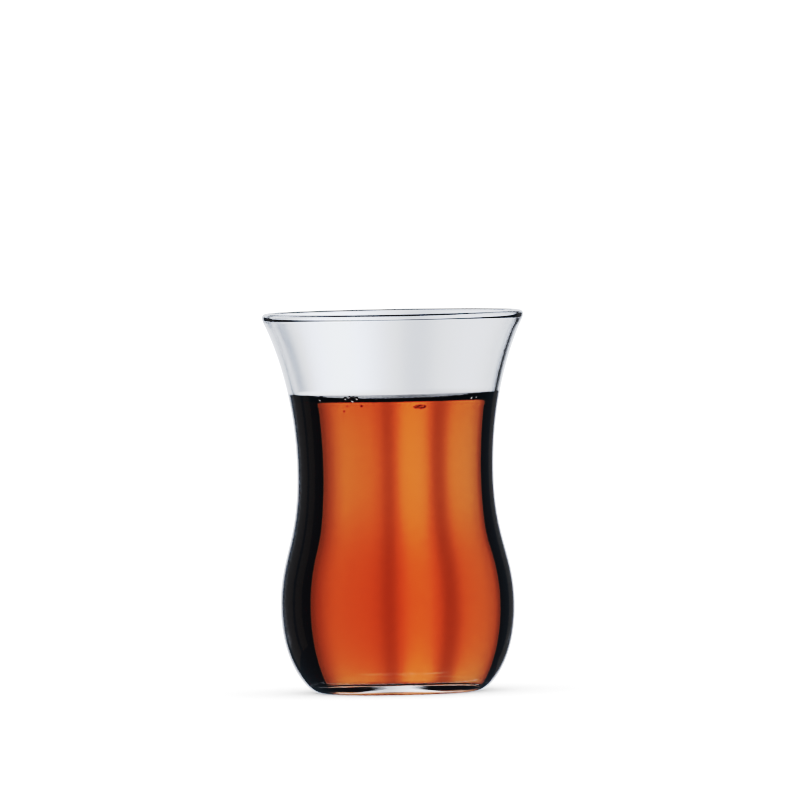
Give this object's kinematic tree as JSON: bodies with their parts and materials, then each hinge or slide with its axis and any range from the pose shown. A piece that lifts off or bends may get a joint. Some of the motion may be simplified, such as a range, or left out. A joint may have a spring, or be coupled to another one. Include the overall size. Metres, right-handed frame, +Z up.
{
  "type": "glass of tea",
  "caption": "Waisted handleless tea glass with a flared rim and a round foot, filled with clear red-brown tea to below the flare.",
  "frame": {"origin": "centre of the foot ring's resting plane", "axes": "+Z up along the axis of the glass, from the foot to the rim; the glass is round, so X and Y are alike"},
  "size_m": [0.0618, 0.0618, 0.09],
  "materials": {
    "clear_glass": "clear, fire-polished",
    "black_tea": "clear red-brown liquid with a still surface"
  },
  "bodies": {
    "root": {"glass": "clear_glass", "tea": "black_tea"}
  },
  "joints": []
}
